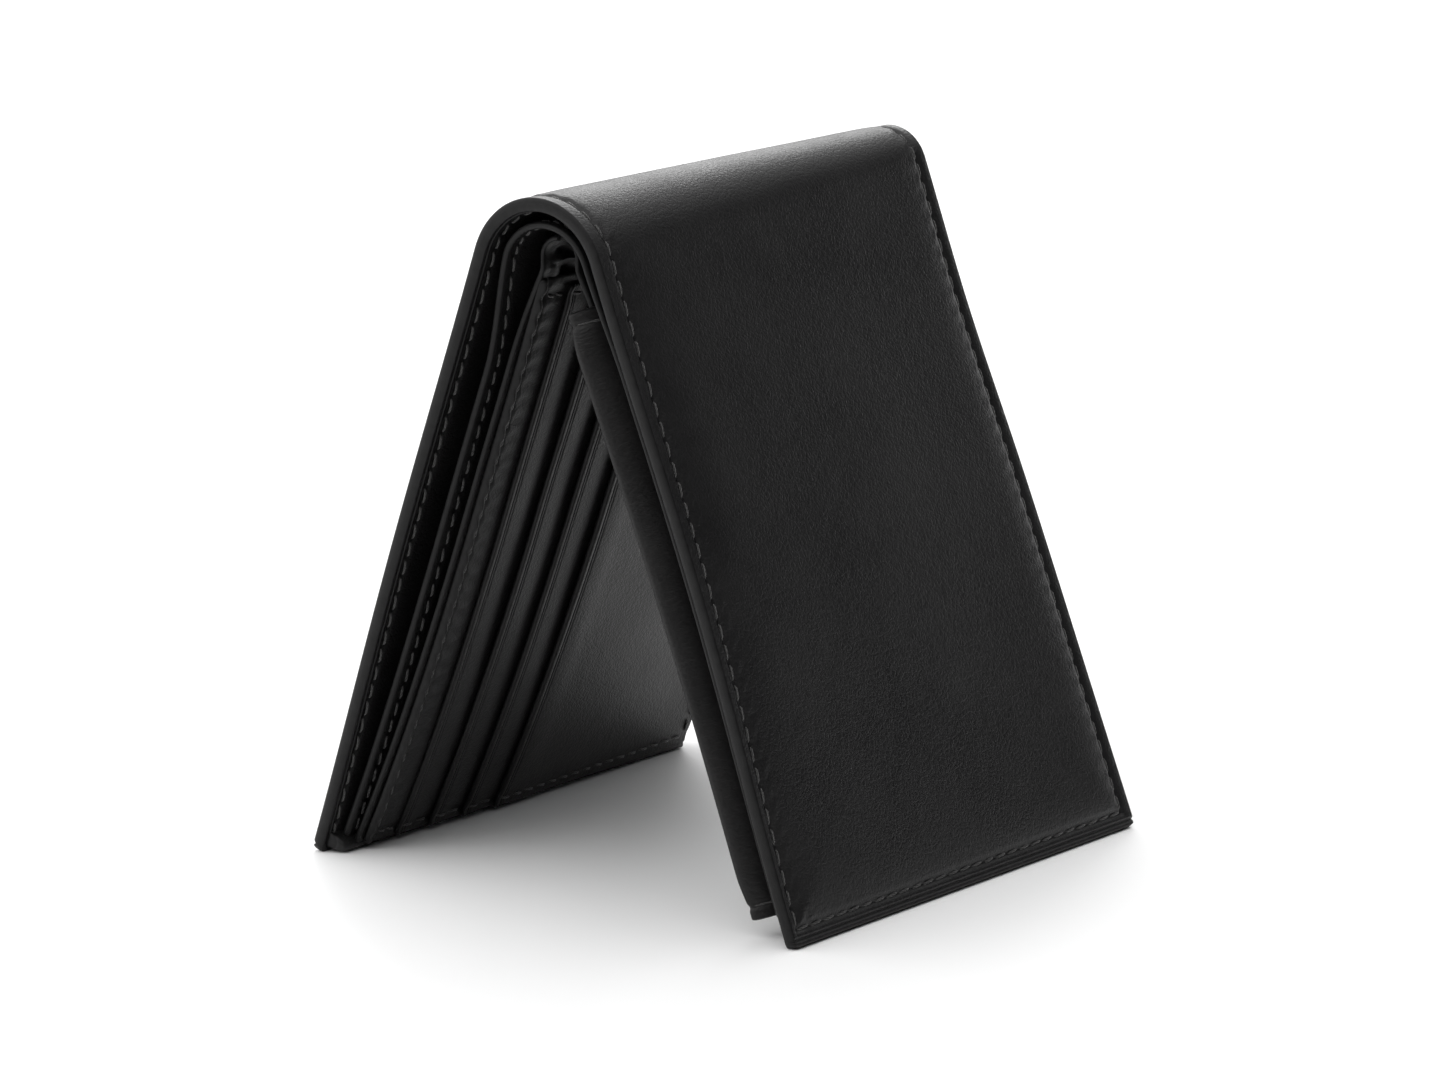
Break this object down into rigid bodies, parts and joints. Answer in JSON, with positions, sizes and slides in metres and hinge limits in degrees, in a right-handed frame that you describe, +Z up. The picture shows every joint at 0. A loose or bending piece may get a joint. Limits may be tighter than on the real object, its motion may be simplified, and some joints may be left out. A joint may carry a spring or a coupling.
{
  "type": "bifold wallet",
  "caption": "Black leather bifold wallet standing as a tent, with bill compartments, card pockets and a lift-out passcase with a clear window.",
  "frame": {"origin": "on the surface the wallet stands on, under the middle of the fold", "axes": "+Z up; the fold runs along Y and the bill compartments open towards -Y; the passcase half is on +X"},
  "size_m": [0.0924, 0.086, 0.1036],
  "materials": {
    "cover_leather": "black smooth nappa, fine grain, satin",
    "inner_leather": "black smooth leather, matte satin",
    "pocket_leather": "black smooth leather with turned edges, satin",
    "cloth": "black woven lining cloth, matte",
    "thread": "black waxed sewing thread",
    "clear_window": "clear flexible plastic film"
  },
  "bodies": {
    "spine": {"cover_spine": "cover_leather", "lining_spine": "inner_leather", "divider_spine": "inner_leather", "inner_wall_spine": "inner_leather", "cover_thread_spine": "thread"},
    "left_half": {"cover_left": "cover_leather", "lining_left": "inner_leather", "divider_left": "inner_leather", "inner_wall_left": "inner_leather", "card_panel": "pocket_leather", "card_pocket_1": "pocket_leather", "card_pocket_2": "pocket_leather", "card_pocket_3": "pocket_leather", "card_pocket_4": "pocket_leather", "pocket_cloth": "cloth", "cover_thread_left": "thread", "divider_thread_left": "thread", "card_thread": "thread"},
    "right_half": {"cover_right": "cover_leather", "lining_right": "inner_leather", "divider_right": "inner_leather", "inner_wall_right": "inner_leather", "slip_pocket": "pocket_leather", "cover_thread_right": "thread", "divider_thread_right": "thread", "slip_thread": "thread"},
    "passcase": {"passcase_back_leaf": "pocket_leather", "passcase_roll": "pocket_leather", "passcase_front_leaf": "pocket_leather", "passcase_cloth": "cloth", "passcase_window": "clear_window", "passcase_frame": "pocket_leather", "passcase_thread": "thread"}
  },
  "joints": [
    {"name": "left_fold", "type": "hinge", "parent": "spine", "child": "left_half", "pos_m": [-0.00983, 0, 0.09798], "axis": [0, 1, 0], "range_deg": [-19.5, 70]},
    {"name": "right_fold", "type": "hinge", "parent": "spine", "child": "right_half", "pos_m": [0.00983, 0, 0.09798], "axis": [0, -1, 0], "range_deg": [-19.5, 70]},
    {"name": "passcase_slide", "type": "slide", "parent": "right_half", "child": "passcase", "axis": [0, -1, 0], "range_m": [0, 0.075]}
  ],
  "couplings": [
    {"joint": "right_fold", "follows": "left_fold", "ratio": 1}
  ]
}
